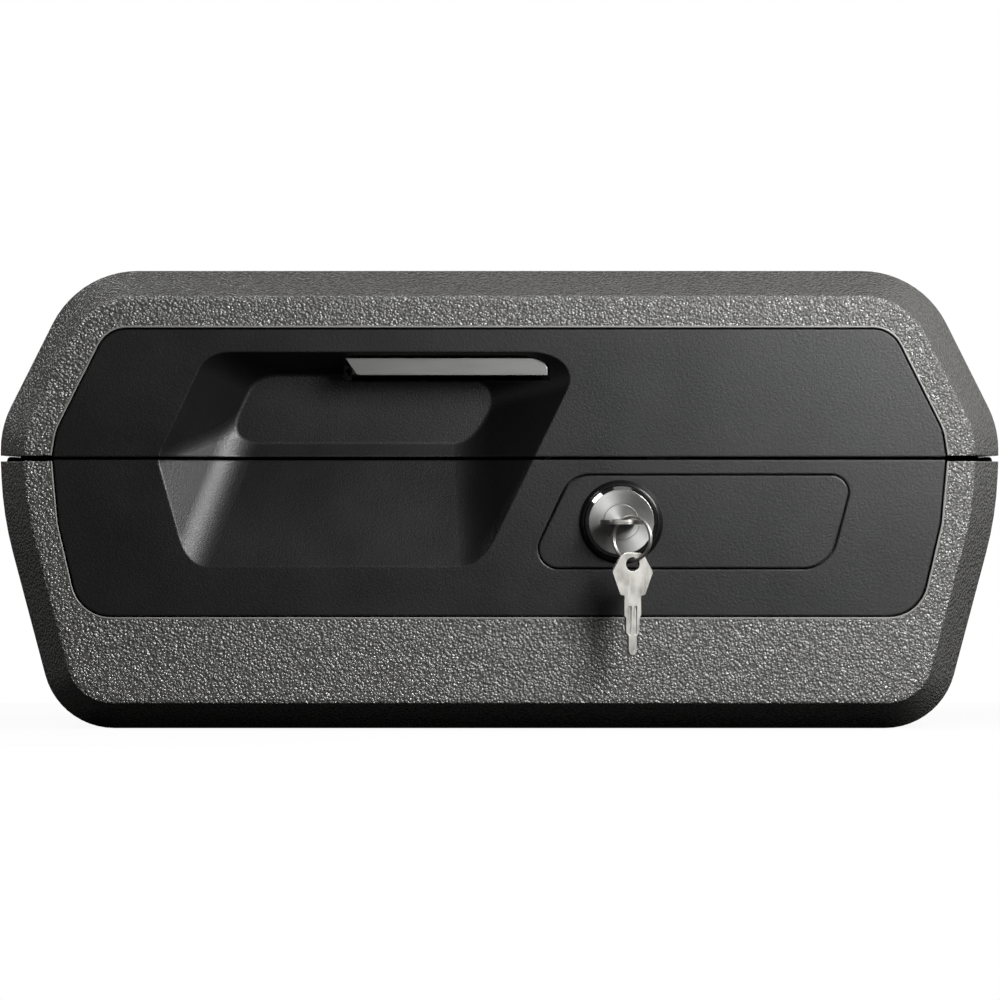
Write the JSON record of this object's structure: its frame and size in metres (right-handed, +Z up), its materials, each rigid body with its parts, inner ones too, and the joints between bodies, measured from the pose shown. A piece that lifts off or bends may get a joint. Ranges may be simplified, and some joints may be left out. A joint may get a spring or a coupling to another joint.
{
  "type": "cash box",
  "caption": "Lockable fire-resistant cash box with a hinged lid, front hand scoop, pull latch, cam lock and keys on a ring.",
  "frame": {"origin": "middle of the flat base", "axes": "+Z up, the front with its lock looks along -Y, +X to the viewer's right"},
  "size_m": [0.419, 0.3789, 0.192],
  "materials": {
    "shell": "coarse pebble-grained moulding",
    "fascia": "fine matt black moulding",
    "fill": "insulating fill",
    "liner": "smooth grey moulding",
    "gasket": "soft black",
    "steel": "zinc-plated",
    "lock": "polished rim, brushed face",
    "latch": "satin silver",
    "key": "nickel-plated"
  },
  "bodies": {
    "chest": {"body_shell": "shell", "body_fill": "fill", "body_liner": "liner", "lower_fascia": "fascia", "lower_fascia_screws": "steel", "lock_plate": "fascia", "lock_bezel": "fascia", "lock_housing": "lock", "lock_nut": "steel", "latch_catch": "steel", "catch_screws": "steel", "hinge_pins": "steel"},
    "lid": {"lid_shell": "shell", "lid_fill": "fill", "lid_liner": "liner", "lid_gasket": "gasket", "upper_fascia": "fascia", "upper_fascia_screws": "steel", "lock_tongue": "steel", "tongue_screws": "steel", "latch_bracket": "steel", "bracket_screws": "steel", "latch_spring": "steel", "spring_screw": "steel"},
    "latch": {"latch_paddle": "latch", "latch_shaft": "steel", "shaft_clips": "steel", "latch_hook": "steel"},
    "plug": {"lock_plug": "lock", "lock_cam": "steel", "cam_washer": "steel", "cam_screw": "steel"},
    "key": {"key": "key"},
    "ring": {"key_ring": "key"},
    "spare": {"spare_key": "key"}
  },
  "joints": [
    {"name": "lid_hinge", "type": "hinge", "parent": "chest", "child": "lid", "pos_m": [0, 0.1764, 0.1132], "axis": [-1, 0, 0], "range_deg": [0, 95], "deforming": ["latch_catch"]},
    {"name": "latch_pull", "type": "hinge", "parent": "lid", "child": "latch", "pos_m": [0, -0.136, 0.152], "axis": [-1, 0, 0], "range_deg": [0, 12], "stiffness_Nm_per_rad": 0.5, "springref_deg": -8.59, "deforming": ["latch_spring"]},
    {"name": "lock_turn", "type": "hinge", "parent": "chest", "child": "plug", "pos_m": [0.0508, 0, 0.0866], "axis": [0, 1, 0], "range_deg": [0, 90]},
    {"name": "key_slide", "type": "slide", "parent": "plug", "child": "key", "axis": [0, -1, 0], "range_m": [0, 0.03]},
    {"name": "ring_swing", "type": "hinge", "parent": "key", "child": "ring", "pos_m": [0.0508, -0.19058, 0.0866], "axis": [0, 1, 0], "range_deg": [-90, 0]},
    {"name": "spare_key_swing", "type": "hinge", "parent": "ring", "child": "spare", "pos_m": [0.05504, -0.19323, 0.06905], "axis": [-0.309, 0.9511, 0], "range_deg": [-25, 25]}
  ],
  "couplings": [
    {"joint": "ring_swing", "follows": "lock_turn", "ratio": -1}
  ]
}
